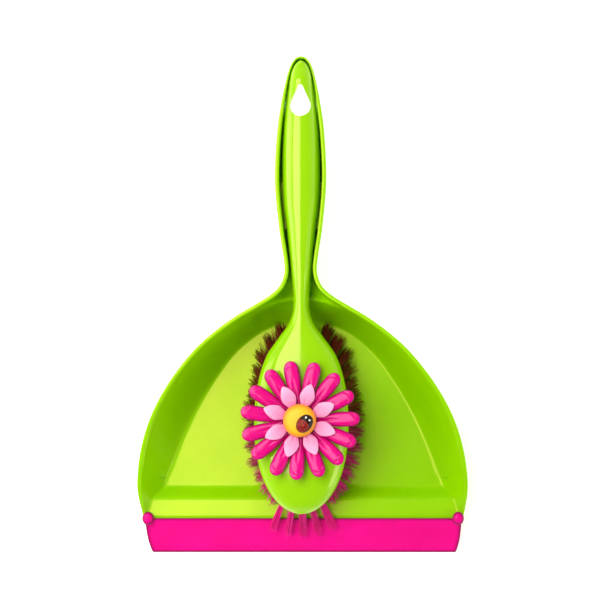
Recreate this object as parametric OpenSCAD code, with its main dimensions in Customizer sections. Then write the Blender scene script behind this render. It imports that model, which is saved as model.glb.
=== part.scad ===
// Dustpan and hand brush set. The brush lies in the pan with its handle nested in the
// open channel of the pan's handle, and a daisy with a ladybird decorates its head.
// Millimetres. X runs across the pan, Y from the mouth to the handle's end, Z up from the floor.

/* [Overall] */
// Length of the set, from the lip's edge to the handle's end
overall_len = 336; // [332:1:340]
// Thickness of the moulded walls
wall = 2.4; // [2.2:0.1:2.6]

/* [Pan] */
// Widest width over the rims
pan_w = 224.4; // [220:0.2:228]
// Height of the rim beside the neck
rim_h = 43.5; // [42.5:0.5:44.5]
// Width of the flat bead along the rim
bead_w = 2.6; // [2.4:0.1:2.8]
// Height of the raised ledge behind the lip
ledge_h = 12; // [11:0.5:12.5]

/* [Handle] */
// Widest width of the pan's handle
handle_w = 34.8; // [34.4:0.1:35.2]
// Width of the neck between pan and handle
neck_w = 22.4; // [22:0.1:22.8]
// Height of the channel's floor
channel_z = 24; // [22:0.5:25]

/* [Lip] */
// Length of the lip, seen from above
lip_run = 23.2; // [22:0.2:24]
// Thickness of the lip where it is fastened
lip_t = 1.6; // [1.4:0.1:1.8]
// Diameter of the button at each end of the lip
stud_d = 8.2; // [7.6:0.1:8.6]

/* [Brush] */
// Widest width of the head
head_w = 64; // [62:0.5:66]
// Widest width of the brush's grip
grip_w = 25.8; // [25.2:0.1:26.2]
// Height of the head's lower edge over the floor
head_z = 32; // [31:0.5:33]
// Tufts in the outer ring, with the toe
rim_tufts = 34; // [30:2:36]

/* [Flower] */
// Diameter over the outer petals
flower_d = 81.2; // [76:0.2:84]
// Number of outer petals
outer_count = 15; // [13:1:16]
// Number of inner petals
inner_count = 8; // [7:1:9]
// Diameter of the yellow middle
dome_d = 22.4; // [20:0.2:24]
// Length of the ladybird
ladybird_len = 13.8; // [12:0.2:15]

/* [Hidden] */

LIME = [0.62, 0.86, 0.05];
PINK = [0.98, 0.08, 0.55];
PALE_PINK = [0.97, 0.66, 0.80];
MAROON = [0.36, 0.08, 0.14];
YELLOW = [0.98, 0.80, 0.06];
STEEL = [0.72, 0.73, 0.75];
RED = [0.85, 0.10, 0.05];
BLACK = [0.08, 0.06, 0.06];
WHITE = [0.95, 0.95, 0.92];

half_len = overall_len / 2;
lip_y = -half_len + lip_run;      // where the lip starts on the ledge
flange_y = lip_y - 7;             // front edge of the pan, under the lip
pan_y = -126;                     // widest line of the pan
pan_arc = 127;                    // from there to the top of the pan's ellipse
gap = 0.3;                        // clearance between moving parts
step = 0.5;                       // step for measuring slopes

flower_y = -78.9;
petal_z = 50.5;                   // middle plane of the outer petals
hole_y = 134.2;                   // centre of the hanging hole's round end
pan_hole = [7.6, 150.4];          // radius and tip of the hole through the pan's handle
brush_hole = [6.9, 148.6];        // and through the brush's grip

// ---- Curves -------------------------------------------------------------------

function clamp01(t) = min(1, max(0, t));
function ease(t) = let (c = clamp01(t)) c * c * (3 - 2 * c);

// Slope of a smooth curve at one of its [position, value] knots
function knot_slope(knots, i) =
    i == 0 || i == len(knots) - 1 ? 0
    : (knots[i + 1][1] - knots[i - 1][1]) / (knots[i + 1][0] - knots[i - 1][0]);

// Smooth curve through knots, flat beyond its ends
function curve(knots, y, i = 0) =
    y <= knots[0][0] ? knots[0][1]
    : y >= knots[len(knots) - 1][0] ? knots[len(knots) - 1][1]
    : y > knots[i + 1][0] ? curve(knots, y, i + 1)
    : let (
        h = knots[i + 1][0] - knots[i][0],
        t = (y - knots[i][0]) / h,
        s = 1 - t)
      knots[i][1] * (1 + 2 * t) * s * s + knot_slope(knots, i) * h * t * s * s
      + knots[i + 1][1] * t * t * (3 - 2 * t) - knot_slope(knots, i + 1) * h * t * t * s;

// Blunt rounded end: 1 at t = 0 and 0 at t = 1
function blunt(t, p, q) = pow(max(0, 1 - pow(clamp01(t), p)), q);

// ---- Closed skin between an upper and a lower grid of points -----------------------

module shell(upper, lower) {
    rows = len(upper);
    cols = len(upper[0]);
    all = rows * cols;
    function at(i, j) = i * cols + j;
    faces = concat(
        [for (i = [0 : rows - 2], j = [0 : cols - 2]) each [
            [at(i, j), at(i + 1, j), at(i + 1, j + 1)],
            [at(i, j), at(i + 1, j + 1), at(i, j + 1)],
            [all + at(i, j), all + at(i + 1, j + 1), all + at(i + 1, j)],
            [all + at(i, j), all + at(i, j + 1), all + at(i + 1, j + 1)]]],
        [for (i = [0 : rows - 2], j = [0, cols - 1]) let (
            a = at(i, j), b = at(i + 1, j), flip = j > 0)
            each [
                flip ? [a, b, all + b] : [a, all + b, b],
                flip ? [a, all + b, all + a] : [a, all + a, all + b]]],
        [for (j = [0 : cols - 2], i = [0, rows - 1]) let (
            a = at(i, j), b = at(i, j + 1), flip = i > 0)
            each [
                flip ? [a, all + b, b] : [a, b, all + b],
                flip ? [a, all + a, all + b] : [a, all + b, all + a]]]);
    polyhedron(points = concat([for (r = upper) each r], [for (r = lower) each r]), faces = faces);
}

// ---- Pan ----------------------------------------------------------------------------

half_w = pan_w / 2;
half_neck = neck_w / 2;
half_handle = handle_w / 2;

// Outline of the pan, its neck and its handle, as [place along Y, half width]
outline_knots = [
    [flange_y, half_w - 6.2], [lip_y, half_w - 3.6], [pan_y, half_w], [-110, half_w - 0.7],
    [-94, half_w - 3.6], [-78, half_w - 8.7], [-62, half_w - 16.5], [-46, half_w - 27],
    [-30, half_w - 40.4], [-18, half_w - 54], [-8, half_w - 68], [0, half_neck + 19.5],
    [6, half_neck + 9.8], [12, half_neck + 3.4], [20, half_neck + 0.1], [28, half_neck],
    [52, half_neck + 3.5], [84, half_handle], [118, half_handle - 1.6], [140, half_handle - 4.8],
    [152, half_handle - 7.3], [168, half_handle - 10.8]];

// Half width of the pan and its handle, to the outside of the rim
function rim_half(y) = curve(outline_knots, y) * blunt((y - 158) / (half_len - 158), 2.6, 0.5);

function rim_slope(y) = (rim_half(y + step) - rim_half(y - step)) / (2 * step);

// Width of the rim's bead, a little more along the handle and less at its end
function bead(y) = bead_w + 0.2 * ease(y / 60) - 1.4 * ease((y - 120) / 40);

// Half width of the opening inside the rim's bead
function mouth_half(y) = max(0.3, rim_half(y) - bead(y) * sqrt(1 + pow(rim_slope(y), 2)));

// Height of the rim's top, which lies flush with the floor under the lip
function rim_top(y) = y < lip_y + 0.2 ? front_z(y) : max(front_z(y) + 0.5, curve([
    [lip_y, 12.8], [-140, 13.8], [-130, 20], [-115, 24.5], [-80, 31], [-40, 38],
    [0, rim_h], [30, rim_h + 1], [90, rim_h + 2.5], [140, rim_h], [half_len, rim_h - 4]], y));

// Height of the pan's floor, which ramps up to the ledge and dips under the lip
function front_z(y) = wall + (ledge_h - wall) * ease((-121.5 - y) / 12)
    - 3.4 * pow(clamp01((lip_y + 2 - y) / 9), 1.6);

// Scaled radius of the line where the floor turns up into the wall
function floor_line(angle) = curve([
    [0, 0.84], [12, 0.795], [27, 0.775], [45, 0.793], [62, 0.85], [76, 0.893], [90, 0.902]], angle);

// Height of the inner surface
function inner_z(x, y) = let (
    half = mouth_half(y),
    ax = min(abs(x), half),
    u = ax / (pan_w / 2),
    v = (y - pan_y) / pan_arc,
    beyond = 115 * max(0, sqrt(u * u + v * v) - floor_line(v <= 0 ? 0 : atan2(v, u))),
    reach = y < pan_y ? max(0, ax - floor_line(0) * pan_w / 2) : beyond,
    short = (half - ax) / sqrt(1 + pow(rim_slope(y), 2)),
    t = reach / max(0.001, reach + short),
    rise = (sqrt(t * t + 0.0144) - 0.12) / (sqrt(1.0144) - 0.12),
    top = rim_top(y),
    pan_depth = top - max(front_z(y), wall + (top - wall) * rise),
    fade = ease((y + 10) / 22) * blunt((y - 160) / 6.4, 4, 0.6),
    channel_depth = fade * (top - channel_z) * (1 - pow(ax / half, 14)))
    top - pow(pow(max(0, pan_depth), 6) + pow(max(0, channel_depth), 6), 1 / 6);

// Unit normal of the inner surface, measured on the side away from the rim
function inner_normal(x, y, flat_end) = let (
    side = x > 0 ? -step : step,
    gx = (inner_z(x + side, y) - inner_z(x, y)) / side,
    gy = flat_end ? 0 : (inner_z(x, y) - inner_z(x, y - step)) / step)
    [-gx, -gy, 1] / norm([-gx, -gy, 1]);

// Columns of the pan's grid: across the floor, then up the wall
function pan_columns(y) = let (
    half = mouth_half(y),
    corner = min(0.86 * half, curve([
        [-124, 94], [-99, 85], [-61, 67], [-31, 45], [-16, 24], [-4, 12], [20, 5.5], [84, 9]], y)),
    side = concat([for (s = [0, 0.4, 0.75, 0.92, 1]) s * corner],
        [for (s = [0.08, 0.2, 0.38, 0.6, 0.8, 0.93, 1]) corner + s * (half - corner)]))
    concat([for (i = [len(side) - 1 : -1 : 1]) -side[i]], side);

flange_rows = [flange_y, flange_y + 1.8, flange_y + 3.5, flange_y + 5.2, lip_y];
pan_rows = concat(flange_rows,
    [for (y = [lip_y + 0.4 : 2 : -119]) y], [for (y = [-114 : 8 : -42]) y],
    [for (y = [-36 : 4 : 24]) y], [for (y = [32 : 10 : 142]) y],
    [for (a = [0 : 6 : 90]) 146 + (half_len - 146) * sin(a)]);

function with_bead(y, row, z) = concat(
    [[-rim_half(y) - 0.01, y, z]], row, [[rim_half(y) + 0.01, y, z]]);

module pan_body() {
    last = len(pan_rows) - 1;
    inside = [for (y = pan_rows) [for (x = pan_columns(y)) [x, y, inner_z(x, y)]]];
    outside = [for (i = [0 : last]) let (thick = min(wall, bead(pan_rows[i]) - 0.1))
        [for (p = inside[i]) p - thick * inner_normal(p[0], p[1], i == 0 || i == last)]];
    shell(
        [for (i = [0 : last]) with_bead(pan_rows[i], inside[i], rim_top(pan_rows[i]))],
        [for (i = [0 : last]) with_bead(pan_rows[i], outside[i], rim_top(pan_rows[i]) - 3)]);
}

// Tear-shaped hole: a large circle and a small one at its tip, joined by their tangents
module teardrop(r, tip) {
    tip_r = 1.6;
    reach = tip - tip_r - hole_y;
    touch = acos((r - tip_r) / reach);
    translate([0, hole_y]) polygon(concat(
        [for (i = [0 : 28]) let (a = 90 + touch + i * (180 - touch) / 14) r * [cos(a), sin(a)]],
        [for (i = [0 : 8]) let (a = 90 - touch + i * touch / 4) [tip_r * cos(a), reach + tip_r * sin(a)]]));
}

// Small shelf on each channel wall, under the edge of the brush's grip
module rest_shelf(side) {
    mid = 67;
    translate([side * (mouth_half(mid) - 2.4), mid, edge_z(mid) - gap - 1.5])
        rotate([0, 0, side * -4.7]) cube([3.6, 32, 3], center = true);
}

module pan_shell() {
    color(LIME) difference() {
        union() {
            pan_body();
            rest_shelf(-1);
            rest_shelf(1);
        }
        translate([0, 0, 15]) linear_extrude(40) teardrop(pan_hole[0], pan_hole[1]);
    }
}

// Height of the lip's top at a place along the pan
function lip_top(y) = let (t = (lip_y - y) / lip_run) ledge_h + lip_t - (ledge_h + lip_t - 0.9) * t;

// The lip's underside follows the flange, with a hair of room
function lip_under(y) = [y, front_z(y) + 0.06];

module pan_lip() {
    color(PINK) difference() {
        intersection() {
            rotate([90, 0, 90]) translate([0, 0, -pan_w / 2]) linear_extrude(pan_w) polygon(concat([
                [lip_y, ledge_h + lip_t - 0.4], [lip_y - 0.5, lip_top(lip_y)],
                [-half_len, 0.9], [-half_len, 0], [-half_len + 2.5, 0],
                [flange_y - 0.2, lip_top(flange_y) - 3.4], [flange_y - 0.2, lip_under(flange_y)[1]]],
                [for (y = flange_rows) lip_under(y)]));
            translate([0, 0, -1]) linear_extrude(40) lip_outline();
        }
        for (side = [-1, 1]) at_pin(side, 8) cylinder(h = 10, r = pin_r + 0.05, $fn = 48);
    }
}

// The lip seen from above: its ends bow inwards to the ground edge
module lip_outline() {
    end = [[half_w - 4.2, lip_y + 1], [half_w - 4.9, lip_y - 6], [half_w - 6, lip_y - 14],
        [half_w - 7.2, lip_y - 18.5], [half_w - 8.4, lip_y - 22], [half_w - 9.2, -half_len]];
    polygon(concat(end, [for (i = [len(end) - 1 : -1 : 0]) [-end[i][0], end[i][1]]]));
}

stud_x = 105.5;
stud_y = lip_y - 0.2;
pin_r = 1.2;

// Place of a stud's pin, which goes through the lip's corner under the stud's inner half
module at_pin(side, z) translate([side * (stud_x - 0.7), stud_y - 1.6, z]) children();

module lip_stud(side) {
    color(PINK) {
        translate([side * stud_x, stud_y, 14]) scale([0.96, 1.12, 1]) rotate_extrude($fn = 48) polygon([
            [0, 0], [stud_d / 2, 0], [stud_d / 2, 1.2],
            for (a = [15 : 15 : 90]) [stud_d / 2 * cos(a), 1.2 + 2.6 * sin(a)]]);
        at_pin(side, 11.7) cylinder(h = 3, r = pin_r, $fn = 48);
    }
}

module lip_stud_left() lip_stud(-1);
module lip_stud_right() lip_stud(1);

// ---- Brush ----------------------------------------------------------------------------

head_mid = -79;
toe_len = 63;
head_toe = head_mid - toe_len;
grip_end = 165;

// Half width of the head and the grip
function brush_half(y) =
    y < head_mid ? head_w / 2 * blunt((head_mid - y) / toe_len, 2.3, 0.5)
    : curve([
        [head_mid, head_w / 2], [-55, 29.8], [-35, 23.7], [-22, 15], [-12, 8.2], [0, 5.4],
        [23, 7.1], [50, 9.9], [71, grip_w / 2 - 0.4], [96, grip_w / 2], [116, grip_w / 2 - 0.8],
        [128, grip_w / 2 - 1.9], [139, grip_w / 2 - 3.3], [150, grip_w / 2 - 4.9],
        [166, grip_w / 2 - 7.1]], y)
      * blunt((y - 154) / (grip_end - 154), 2.4, 0.5);

// Height of the cover's crown
function crown_z(y) = curve([
    [head_toe, 37], [-137, 41], [-125, 44], [-100, 46], [-45, 46], [-8, 45.5], [25, 47.5],
    [80, 50.5], [125, 50], [152, 47], [grip_end, 42]], y);

// Height of the cover's lower edge
function edge_z(y) = curve([
    [-45, head_z], [-5, head_z + 1.5], [30, head_z + 1.5], [80, head_z + 1], [grip_end, head_z + 4]], y);

// Depth of the hollow under the cover
function hollow(y) =
    y > -134 && y < -20 ? 4.2
    : y > 14 && y < 118 ? 8 : 0.3;

function cover_top(y) = let (half = max(0.6, brush_half(y)), base = edge_z(y) + 2)
    [for (a = [180 : -11.25 : 0]) let (c = cos(a), s = sin(a)) [
        half * sign(c) * pow(abs(c), 2 / 2.4), y,
        base + (crown_z(y) - base) * pow(abs(s), 2 / 2.4)]];

function cover_bottom(y) = let (
    half = max(0.6, brush_half(y)),
    inside = max(half * 0.5, half - wall - 0.2),
    z = edge_z(y),
    top = z + hollow(y),
    side = [[half, y, z], [inside, y, z], [inside - 0.02 * half, y, top]],
    across = [for (i = [-5 : 5]) [i / 6 * inside * 0.97, y, top]])
    concat([for (p = side) [-p[0], p[1], p[2]]], across, [for (i = [2 : -1 : 0]) side[i]]);

cover_rows = concat(
    [for (a = [90 : -7.5 : 0]) head_mid - toe_len * sin(a)],
    [-134.1, -133.9], [for (y = [-71 : 8 : -23]) y], [-20.1, -19.9],
    [for (y = [-16 : 4 : 12]) y], [13.9, 14.1], [for (y = [24 : 12 : 108]) y], [117.9, 118.1],
    [for (y = [126, 136]) y], [for (a = [10 : 8 : 90]) 136 + (grip_end - 136) * sin(a)]);

// The same rows in rising order
function sorted(list) = len(list) <= 1 ? list : let (p = list[floor(len(list) / 2)])
    concat(sorted([for (v = list) if (v < p) v]), [p], sorted([for (v = list) if (v > p) v]));

module brush_cover() {
    rows = sorted(cover_rows);
    color(LIME) difference() {
        shell([for (y = rows) cover_top(y)], [for (y = rows) cover_bottom(y)]);
        translate([0, 0, 20]) linear_extrude(60) teardrop(brush_hole[0], brush_hole[1]);
        translate([0, flower_y, 30]) cylinder(h = 30, d = 3, $fn = 32);
        for (y = screw_ys) translate([0, y, 35]) cylinder(h = 6.5, d = 2.6, $fn = 32);
    }
}

screw_ys = [-110.5, -42];
block_bottom = 28.5;
block_top = head_z + 4;

module tuft_block() {
    half = [for (y = [-133 : 6 : -25]) [brush_half(y) - 3.6, y]];
    outline = concat(half, [for (i = [len(half) - 1 : -1 : 0]) [-half[i][0], half[i][1]]]);
    color(LIME) difference() {
        translate([0, 0, block_bottom]) linear_extrude(block_top - block_bottom) polygon(outline);
        for (tuft = all_tufts) tuft_place(tuft) translate([0, 0, -hole_depth])
            cylinder(h = hole_depth + 5, r = 1.6, $fn = 24);
        translate([0, flower_y, 20]) cylinder(h = 20, d = 6.4, $fn = 32);
        for (y = screw_ys) translate([0, y, 20]) {
            cylinder(h = 20, d = 3.4, $fn = 32);
            cylinder(h = 11, d = 6.2, $fn = 32);
        }
    }
}

module pan_head_screw(d, head_d, len, head_h) {
    translate([0, 0, -head_h]) difference() {
        cylinder(h = head_h, d = head_d, $fn = 40);
        for (a = [0, 90]) rotate([0, 0, a]) translate([-head_d * 0.3, -0.4, -0.1])
            cube([head_d * 0.6, 0.8, 1.1]);
    }
    cylinder(h = len, d = d, $fn = 32);
}

module block_screws() {
    color(STEEL) for (y = screw_ys) translate([0, y, 31]) pan_head_screw(2.6, 5.6, 9.5, 2);
}

// ---- Tufts: each runs from its root in the block's face to its tip -----------------------

hole_depth = 5;
toe_span = 62;      // from the middle of the rings to the toe
neck_span = 65;     // and to the neck
ring_y = -80;

// Place on the outline of the head, scaled to a ring: a round end at the toe, even steps to the neck
function ring_point(scale, angle) = let (
    y = ring_y + (sin(angle) < 0 ? toe_span * sin(angle) : neck_span * (1 - abs(90 - angle) / 90)))
    [scale * sign(cos(angle)) * brush_half(y), ring_y + scale * (y - ring_y)];

// Height of the pan or its lip under a place
function ground_z(y) = y > lip_y + 0.5 ? front_z(y) : lip_top(y);

// Height at which the whole end of a tuft clears the ground round it
function tip_z(y) = max(ground_z(y - 3), ground_z(y + 1.6)) + 2.5;

// [root, tip] of a tuft that leans out by a run, longer towards the toe
function tuft_at(scale, angle, run) = let (
    root = ring_point(scale, angle),
    dir = [cos(angle), sin(angle) * 0.9],
    tip = root + dir * run)
    [[root[0], root[1], block_bottom], [tip[0], tip[1], tip_z(tip[1])]];

rim_angles = [for (i = [0 : rim_tufts - 1]) -90 + i * 360 / rim_tufts];
toe_limit = 30;
function is_toe(a) = a < -90 + toe_limit || a > 270 - toe_limit;

// Run of a tuft in the outer ring, longest on both sides of the neck
function rim_run(a) = 12 + (abs(cos(a)) > 0.1 ? 9 * ease((sin(a) - 0.6) / 0.4) : 0);

rim_ring = [for (a = rim_angles) if (!is_toe(a)) tuft_at(0.80, a, rim_run(a))];
toe_ring = [for (a = rim_angles) if (is_toe(a)) tuft_at(0.80, a, 30)];
middle_ring = [for (i = [0 : 23]) tuft_at(0.60, i * 15 + 7.5, 9)];
inner_ring = [for (i = [0 : 15]) tuft_at(0.40, i * 22.5, 5)];
core_ring = [for (i = [0 : 6]) tuft_at(0.20, i * 360 / 7 + 12, 2)];
all_tufts = concat(rim_ring, toe_ring, middle_ring, inner_ring, core_ring);

// Stands children on a tuft's root, with +Z towards its tip
module tuft_place(tuft) {
    d = tuft[1] - tuft[0];
    translate(tuft[0]) rotate([0, acos(d[2] / norm(d)), atan2(d[1], d[0])]) children();
}

module tufts(list) {
    color(MAROON) for (tuft = list) tuft_place(tuft) {
        long = norm(tuft[1] - tuft[0]);
        rotate_extrude($fn = 20) polygon([
            [0, -hole_depth + 1], [1.5, -hole_depth + 1], [1.5, 0], [2.3, long], [0, long]]);
    }
}

module tufts_rim() tufts(rim_ring);
module tufts_toe() tufts(toe_ring);
module tufts_middle() tufts(middle_ring);
module tufts_inner() tufts(inner_ring);
module tufts_core() tufts(core_ring);

// A flat wire across the bottom of each hole, which holds the folded filaments
module tuft_staples() {
    color(STEEL) for (tuft = all_tufts) tuft_place(tuft)
        translate([0, 0, -hole_depth + 0.5]) cube([0.5, 2.8, 0.7], center = true);
}

// ---- Flower -----------------------------------------------------------------------------

module at_flower(z) translate([0, flower_y, z]) children();

module flower_base() {
    color(PINK) at_flower(46.3) difference() {
        union() {
            cylinder(h = 2.2, r = 13, $fn = 64);
            cylinder(h = 9.4, r = 6.5, $fn = 48);
        }
        translate([0, 0, -1]) cylinder(h = 8, d = 2.6, $fn = 32);
    }
}

module flower_screw() {
    color(STEEL) at_flower(36) pan_head_screw(2.6, 5.8, 14, 2);
}

// Puffy petal along +X with its root at one radius and its tip at another
module petal(root, tip, width, thick) {
    long = tip - root;
    hull() {
        translate([root, 0, 0]) scale([1, 1, 0.6]) sphere(d = width * 0.5, $fn = 10);
        translate([root + long * 0.55, 0, 0.2]) scale([1, 1, thick / width])
            sphere(d = width * 0.96, $fn = 12);
        translate([tip - width * 0.42, 0, 0]) scale([1, 1, thick / width])
            sphere(d = width * 0.84, $fn = 12);
    }
}

module petals_outer() {
    color(PINK) at_flower(petal_z) {
        difference() {
            cylinder(h = 2, r = 15, $fn = 60);
            translate([0, 0, -1]) cylinder(h = 5, r = 6.8, $fn = 48);
        }
        for (i = [0 : outer_count - 1]) rotate([0, 0, 98.8 + i * 360 / outer_count])
            petal(14, flower_d / 2, 10, 3.6);
    }
}

module petals_inner() {
    color(PALE_PINK) at_flower(petal_z + 3.4) {
        difference() {
            cylinder(h = 1.6, r = 9.5, $fn = 60);
            translate([0, 0, -1]) cylinder(h = 5, r = 6.8, $fn = 48);
        }
        for (i = [0 : inner_count - 1]) rotate([0, 0, 116 + i * 360 / inner_count])
            petal(9.1, 25.7, 9.6, 2.8);
    }
}

module flower_dome() {
    r = dome_d / 2;
    color(YELLOW) difference() {
        at_flower(petal_z + 5.4) rotate_extrude($fn = 64) polygon([
            [0, 0], [r - 1, 0], for (a = [0 : 10 : 90]) [r * cos(a), 0.6 + 4.6 * sin(a)]]);
        at_ladybird() {
            translate([-1.8, 0, 0]) cylinder(h = 5, r = 5.3, $fn = 48);
            translate([4.1, 0, 0]) cylinder(h = 5, r = 3.1, $fn = 48);
        }
    }
}

module at_ladybird() at_flower(petal_z + 10)
    translate([3.6, -1.8, -0.4]) rotate([0, 0, 52]) scale(ladybird_len / 13.8) children();

module ladybird_body() {
    color(BLACK) difference() {
        at_ladybird() {
            translate([-1.2, 0, 0]) cylinder(h = 0.8, r = 4.4, $fn = 40);
            intersection() {
                translate([4.1, 0, 0]) sphere(r = 2.9, $fn = 32);
                translate([2.6, -4, 0]) cube([5, 8, 5]);
            }
        }
        ladybird_eyes();
    }
}

module ladybird_shell() {
    color(RED) at_ladybird() translate([-1.8, 0, 0.8]) intersection() {
        scale([1, 0.9, 0.8]) sphere(r = 5.1, $fn = 40);
        translate([-8, -8, 0]) cube([12.2, 16, 8]);
    }
}

module ladybird_eyes() {
    color(WHITE) at_ladybird() for (side = [-1, 1])
        translate([5.6, side * 1.5, 2.2]) sphere(r = 0.7, $fn = 24);
}

pan_shell();
pan_lip();
lip_stud_left();
lip_stud_right();
brush_cover();
tuft_block();
block_screws();
tuft_staples();
tufts_rim();
tufts_toe();
tufts_middle();
tufts_inner();
tufts_core();
flower_base();
flower_screw();
petals_outer();
petals_inner();
flower_dome();
ladybird_body();
ladybird_shell();
ladybird_eyes();
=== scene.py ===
# Dustpan and hand brush: the looks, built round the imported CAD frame.
import math

import bmesh
import bpy
import numpy as np
from mathutils import Matrix, Vector


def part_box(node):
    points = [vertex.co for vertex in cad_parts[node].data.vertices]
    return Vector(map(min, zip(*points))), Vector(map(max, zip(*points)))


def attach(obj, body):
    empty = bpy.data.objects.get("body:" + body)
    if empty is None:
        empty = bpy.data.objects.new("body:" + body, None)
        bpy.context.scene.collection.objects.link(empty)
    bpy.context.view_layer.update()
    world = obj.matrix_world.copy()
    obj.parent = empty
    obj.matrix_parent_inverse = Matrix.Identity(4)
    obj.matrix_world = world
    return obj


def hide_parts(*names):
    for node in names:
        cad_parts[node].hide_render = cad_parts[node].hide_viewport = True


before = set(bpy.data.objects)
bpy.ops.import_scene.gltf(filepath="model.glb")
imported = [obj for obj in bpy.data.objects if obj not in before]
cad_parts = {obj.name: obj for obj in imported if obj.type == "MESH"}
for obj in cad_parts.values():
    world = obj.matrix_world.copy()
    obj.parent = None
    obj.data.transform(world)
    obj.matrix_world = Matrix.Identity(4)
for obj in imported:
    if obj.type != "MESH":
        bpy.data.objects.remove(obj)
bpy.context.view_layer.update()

MM = 0.001                      # shapes are worked out in millimetres, as in the CAD
rng = np.random.default_rng(7)


# ---- Sizes, from the CAD frame where it gives them -------------------------------------

def box_mm(node):
    low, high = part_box(node)
    return np.array(low) / MM, np.array(high) / MM


pan_low, pan_high = box_mm("pan_shell")
lip_low, lip_high = box_mm("pan_lip")
dome_low, dome_high = box_mm("flower_dome")

WALL = 2.4
PAN_HALF = 112.2                # half width over the rims
HALF_LEN = pan_high[1]          # end of the pan's handle
FLANGE_Y = pan_low[1]           # front edge of the pan, under the lip
LIP_Y = lip_high[1]             # where the lip starts on the ledge
LIP_RUN = lip_high[1] - lip_low[1]
LIP_T = 1.6
LEDGE_Z = 12.0
BEAD = 2.6
NECK_HALF = 11.2
HANDLE_HALF = 17.4
CHANNEL_Z = 24.0
RIM_Z = 43.5
PAN_Y, PAN_ARC = -126.0, 127.0  # the pan's ellipse
HEAD_HALF = box_mm("brush_cover")[1][0]
HEAD_Y, TOE_LEN = -79.0, 63.0
GRIP_HALF, GRIP_END = 12.9, 165.0
HEAD_Z = 32.0
BLOCK_Z = box_mm("tuft_block")[0][2]
FLOWER_Y = (dome_low[1] + dome_high[1]) / 2
HOLE_Y = 134.2


# ---- Curves shared with the CAD --------------------------------------------------------

def ease(t):
    t = np.clip(t, 0, 1)
    return t * t * (3 - 2 * t)


def blunt(t, p, q):
    return np.maximum(0, 1 - np.clip(t, 0, 1) ** p) ** q


def curve(knots, y):
    """Smooth curve through [position, value] knots, flat beyond its ends."""
    at, value = np.array(knots, float).T
    slope = np.zeros(len(at))
    slope[1:-1] = (value[2:] - value[:-2]) / (at[2:] - at[:-2])
    y = np.clip(y, at[0], at[-1])
    i = np.clip(np.searchsorted(at, y, side="right") - 1, 0, len(at) - 2)
    h = at[i + 1] - at[i]
    t = (y - at[i]) / h
    s = 1 - t
    return (value[i] * (1 + 2 * t) * s * s + slope[i] * h * t * s * s
            + value[i + 1] * t * t * (3 - 2 * t) - slope[i + 1] * h * t * t * s)


OUTLINE = [
    [FLANGE_Y, PAN_HALF - 6.2], [LIP_Y, PAN_HALF - 3.6], [PAN_Y, PAN_HALF], [-110, PAN_HALF - 0.7],
    [-94, PAN_HALF - 3.6], [-78, PAN_HALF - 8.7], [-62, PAN_HALF - 16.5], [-46, PAN_HALF - 27],
    [-30, PAN_HALF - 40.4], [-18, PAN_HALF - 54], [-8, PAN_HALF - 68], [0, NECK_HALF + 19.5],
    [6, NECK_HALF + 9.8], [12, NECK_HALF + 3.4], [20, NECK_HALF + 0.1], [28, NECK_HALF],
    [52, NECK_HALF + 3.5], [84, HANDLE_HALF], [118, HANDLE_HALF - 1.6], [140, HANDLE_HALF - 4.8],
    [152, HANDLE_HALF - 7.3], [168, HANDLE_HALF - 10.8]]


def rim_half(y):
    """Half width of the pan and its handle, to the outside of the bead."""
    return curve(OUTLINE, y) * blunt((y - 158) / (HALF_LEN - 158), 2.6, 0.5)


def rim_slope(y):
    return rim_half(y + 0.5) - rim_half(y - 0.5)


def bead(y):
    """Width of the rim's bead, a little more along the handle and less at its end."""
    return BEAD + 0.2 * ease(y / 60) - 1.4 * ease((y - 120) / 40)


def mouth_half(y):
    """Half width of the opening inside the bead."""
    return np.maximum(0.3, rim_half(y) - bead(y) * np.sqrt(1 + rim_slope(y) ** 2))


def front_z(y):
    """Height of the floor, which ramps up to the ledge and dips under the lip."""
    return (WALL + (LEDGE_Z - WALL) * ease((-121.5 - y) / 12)
            - 3.4 * np.clip((LIP_Y + 2 - y) / 9, 0, 1) ** 1.6)


def rim_top(y):
    knots = [[LIP_Y, 12.8], [-140, 13.8], [-130, 20], [-115, 24.5], [-80, 31], [-40, 38],
             [0, RIM_Z], [30, RIM_Z + 1], [90, RIM_Z + 2.5], [140, RIM_Z], [HALF_LEN, RIM_Z - 4]]
    return np.where(y < LIP_Y + 0.2, front_z(y), np.maximum(front_z(y) + 0.5, curve(knots, y)))


def floor_line(angle):
    return curve([[0, 0.84], [12, 0.795], [27, 0.775], [45, 0.793], [62, 0.85],
                  [76, 0.893], [90, 0.902]], angle)


def inner_z(x, y):
    """Height of the pan's inner surface."""
    half = mouth_half(y)
    ax = np.minimum(np.abs(x), half)
    u = ax / PAN_HALF
    v = (y - PAN_Y) / PAN_ARC
    angle = np.degrees(np.arctan2(np.maximum(v, 0), np.maximum(u, 1e-9)))
    beyond = 115 * np.maximum(0, np.hypot(u, v) - floor_line(angle))
    reach = np.where(y < PAN_Y, np.maximum(0, ax - 0.84 * PAN_HALF), beyond)
    short = (half - ax) / np.sqrt(1 + rim_slope(y) ** 2)
    t = reach / np.maximum(0.001, reach + short)
    rise = (np.sqrt(t * t + 0.0144) - 0.12) / (math.sqrt(1.0144) - 0.12)
    top = rim_top(y)
    pan = np.maximum(0, top - np.maximum(front_z(y), WALL + (top - WALL) * rise))
    fade = ease((y + 10) / 22) * blunt((y - 160) / 6.4, 4, 0.6)
    channel = np.maximum(0, fade * (top - CHANNEL_Z) * (1 - (ax / half) ** 14))
    return top - (pan ** 6 + channel ** 6) ** (1 / 6)


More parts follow.
